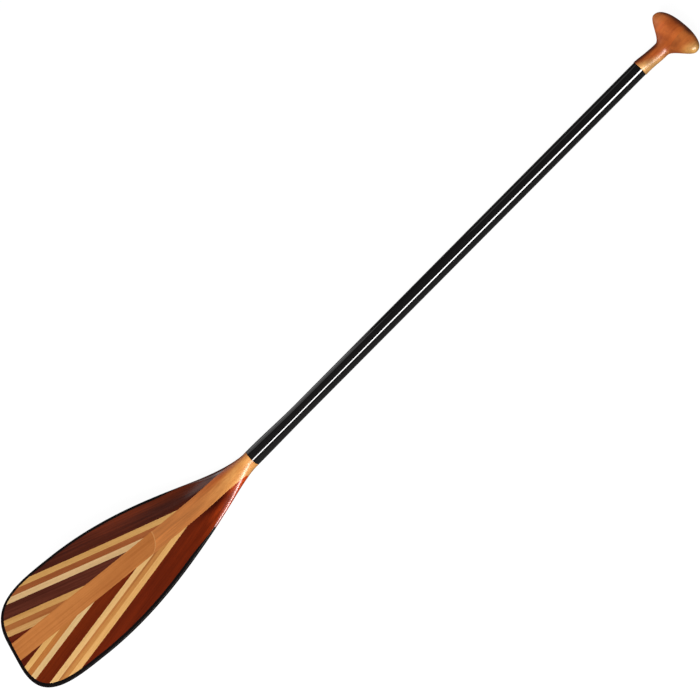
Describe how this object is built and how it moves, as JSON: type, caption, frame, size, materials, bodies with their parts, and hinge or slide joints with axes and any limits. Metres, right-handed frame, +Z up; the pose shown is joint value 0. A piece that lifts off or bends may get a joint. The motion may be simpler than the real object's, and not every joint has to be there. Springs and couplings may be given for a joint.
{
  "type": "canoe paddle",
  "caption": "Bent-shaft canoe paddle with a composite tube shaft, a laminated wooden blade edged in resin, and a wooden palm grip.",
  "frame": {"origin": "bottom centre of the paddle's box, with the shaft level and the hollow side of the bend facing up", "axes": "+X along the shaft from the blade to the grip, +Y towards the blade's left edge as seen from above with the grip away, +Z up, out of the hollow side"},
  "size_m": [1.4016, 0.206, 0.1049],
  "materials": {
    "carbon_tube": "satin",
    "edge_resin": "gloss",
    "grip_wood": "gloss",
    "throat_wood": "gloss",
    "centre_wood": "gloss",
    "panel_wood": "gloss",
    "dark_wood": "gloss",
    "pale_wood": "gloss",
    "mid_wood": "gloss",
    "cream_wood": "gloss"
  },
  "bodies": {
    "root": {"shaft_tube": "carbon_tube", "grip_core": "grip_wood", "grip_lobe_left": "grip_wood", "grip_lobe_right": "grip_wood", "throat_stick": "throat_wood", "centre_stick": "centre_wood", "edge_guard": "edge_resin", "left_outer_panel": "panel_wood", "left_pale_strip_1": "pale_wood", "left_mid_strip_1": "mid_wood", "left_cream_strip_1": "cream_wood", "left_dark_strip": "dark_wood", "left_pale_strip_2": "pale_wood", "left_mid_strip_2": "mid_wood", "left_cream_strip_2": "cream_wood", "left_tip_wedge": "panel_wood", "right_outer_panel": "panel_wood", "right_pale_strip_1": "pale_wood", "right_mid_strip_1": "mid_wood", "right_cream_strip_1": "cream_wood", "right_dark_strip": "dark_wood", "right_pale_strip_2": "pale_wood", "right_mid_strip_2": "mid_wood", "right_cream_strip_2": "cream_wood", "right_tip_wedge": "panel_wood"}
  },
  "joints": []
}
